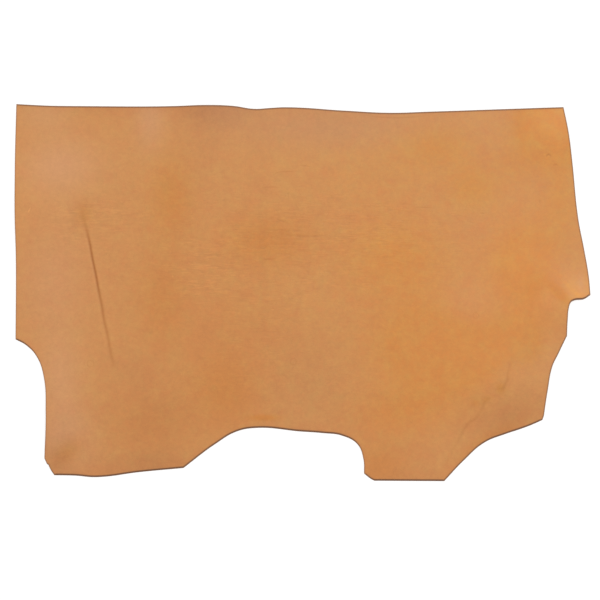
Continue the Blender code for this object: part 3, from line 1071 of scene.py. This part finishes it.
def flesh_leather(colours, groups):
    """The napped underside, paler and rougher than the grain."""
    material, nodes, shader = new_material("flesh_leather")
    place = object_place(nodes)
    fibres = use_group(nodes, groups["fibres"], vector=place, fibre_length=0.009,
                       fibre_width=0.0011)
    clouds = use_group(nodes, groups["tan"], vector=place, cloud_size=0.12)
    colour = nodes.mix(fibres["Tint"], colours.flesh_dark, colours.flesh)
    colour = nodes.mix(0.35, colour, colours.flesh)
    colour = brightened(nodes, colour, nodes.times(clouds["Light"], 0.35))
    roughness = nodes.ramp(fibres["Height"], 0.0, 1.0, 0.82, 0.96)
    dress(nodes, shader, colour, roughness, 0.2, fibres["Height"], strength=0.8, distance=0.35 * MM)
    shader.inputs["Sheen Weight"].default_value = 0.25
    shader.inputs["Sheen Roughness"].default_value = 0.6
    return material


def apply_tree(piece, tree, values):
    """Runs a Geometry Nodes tree on the piece and keeps what it makes as the piece's plain mesh."""
    modifier = piece.modifiers.new(tree.name, "NODES")
    modifier.node_group = tree
    for label, value in values.items():
        modifier[identifier(tree, label)] = value
    bpy.context.view_layer.update()
    evaluated = piece.evaluated_get(bpy.context.evaluated_depsgraph_get())
    mesh = bpy.data.meshes.new_from_object(evaluated)
    piece.modifiers.remove(modifier)
    piece.data = mesh


class LEATHER_OT_hide(bpy.types.Operator):
    """Build the hide over its model, with its marks and its three kinds of leather"""

    bl_idname = "leather.hide"
    bl_label = "Shoulder Hide"

    def execute(self, context):
        shape, colours = context.scene.leather_shape, context.scene.leather_colours
        groups = {"tan": cloudy_group(), "fibres": fibre_group(), "grain": grain_group()}
        lines = mark_lines()
        guide = marks_guide(lines)
        mesh = hide_mesh(shape, lines)
        piece = bpy.data.objects.new(PIECE, mesh)
        context.scene.collection.objects.link(piece)
        apply_tree(piece, hide_surface_tree(),
                   {"Marks": guide, "Seed": SURFACE_SEED,
                    **{label: getattr(shape, name) for label, name in SHAPE_INPUTS.items()},
                    "Grain Leather": grain_leather(colours, groups),
                    "Edge Leather": edge_leather(colours, groups),
                    "Flesh Leather": flesh_leather(colours, groups)})
        piece.data.name = PIECE
        bpy.data.objects.remove(guide)
        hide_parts(HIDE)
        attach(piece, BODY)
        return {"FINISHED"}


class LEATHER_OT_stage(bpy.types.Operator):
    """Set out the pale floor, the soft light and the camera straight above the hide"""

    bl_idname = "leather.stage"
    bl_label = "Stage"

    def execute(self, context):
        scene, stage = context.scene, context.scene.leather_stage
        self.floor(stage)
        self.lights(scene, stage)
        self.camera(scene, stage)
        return {"FINISHED"}

    def floor(self, stage):
        """Lays the pale floor under the hide, lit from below a little as a light table is."""
        bpy.ops.mesh.primitive_plane_add(size=stage.floor_size, location=(0, 0, 0))
        floor = bpy.context.object
        floor.name = "floor"
        material, _, shader = new_material("pale_floor")
        shader.inputs["Base Color"].default_value = (FLOOR_GREY, FLOOR_GREY, FLOOR_GREY, 1)
        shader.inputs["Emission Color"].default_value = (1, 1, 1, 1)
        shader.inputs["Emission Strength"].default_value = stage.table_glow
        shader.inputs["Roughness"].default_value = 0.9
        shader.inputs["Specular IOR Level"].default_value = 0.1
        floor.data.materials.append(material)

    def lights(self, scene, stage):
        """Hangs the large round lamp, and lights the hide evenly from all round."""
        key = bpy.data.lights.new("key", "AREA")
        key.shape = "DISK"
        key.size = KEY_WIDTH
        key.energy = stage.key_power
        lamp = bpy.data.objects.new("key", key)
        lamp.location = KEY_PLACE
        lamp.rotation_euler = (-lamp.location).to_track_quat("-Z", "Y").to_euler()
        scene.collection.objects.link(lamp)
        world = bpy.data.worlds.new("studio")
        world.use_nodes = True
        background = world.node_tree.nodes["Background"]
        background.inputs["Color"].default_value = (1, 1, 1, 1)
        background.inputs["Strength"].default_value = stage.fill
        scene.world = world

    def camera(self, scene, stage):
        """Hangs the camera straight above the hide, where it sees what the photograph shows."""
        data = bpy.data.cameras.new("camera")
        data.lens = stage.camera_lens
        data.sensor_width = SENSOR_WIDTH
        camera = bpy.data.objects.new("camera", data)
        half = PHOTO_FRAME * PIXEL / 2
        distance = half / (data.sensor_width / 2 / data.lens)
        camera.location = (*PHOTO_CENTRE, distance + SUBSTANCE)
        data.clip_start, data.clip_end = 0.1, 100
        scene.collection.objects.link(camera)
        scene.camera = camera
        scene.view_settings.view_transform = "Standard"


class LEATHER_PT_panel(bpy.types.Panel):
    """The sidebar panel that lists the pieces and their settings"""

    bl_idname = "LEATHER_PT_panel"
    bl_label = "Leather Double Shoulder"
    bl_space_type = "VIEW_3D"
    bl_region_type = "UI"
    bl_category = "Leather"

    def draw(self, context):
        for name, operator in (("leather_shape", LEATHER_OT_hide), ("leather_colours", None),
                               ("leather_stage", LEATHER_OT_stage)):
            box = self.layout.box()
            settings = getattr(context.scene, name)
            for key in settings.__annotations__:
                box.prop(settings, key)
            if operator:
                box.operator(operator.bl_idname)


SETTINGS = (("leather_shape", HideShape), ("leather_colours", HideColours),
            ("leather_stage", StageSettings))
CLASSES = (HideShape, HideColours, StageSettings, LEATHER_OT_hide, LEATHER_OT_stage,
           LEATHER_PT_panel)


def register():
    for cls in CLASSES:
        bpy.utils.register_class(cls)
    for name, cls in SETTINGS:
        setattr(bpy.types.Scene, name, PointerProperty(type=cls))


def unregister():
    for name, _ in SETTINGS:
        delattr(bpy.types.Scene, name)
    for cls in reversed(CLASSES):
        bpy.utils.unregister_class(cls)


def main():
    register()
    bpy.ops.leather.hide()
    bpy.ops.leather.stage()


if __name__ == "__main__":
    main()
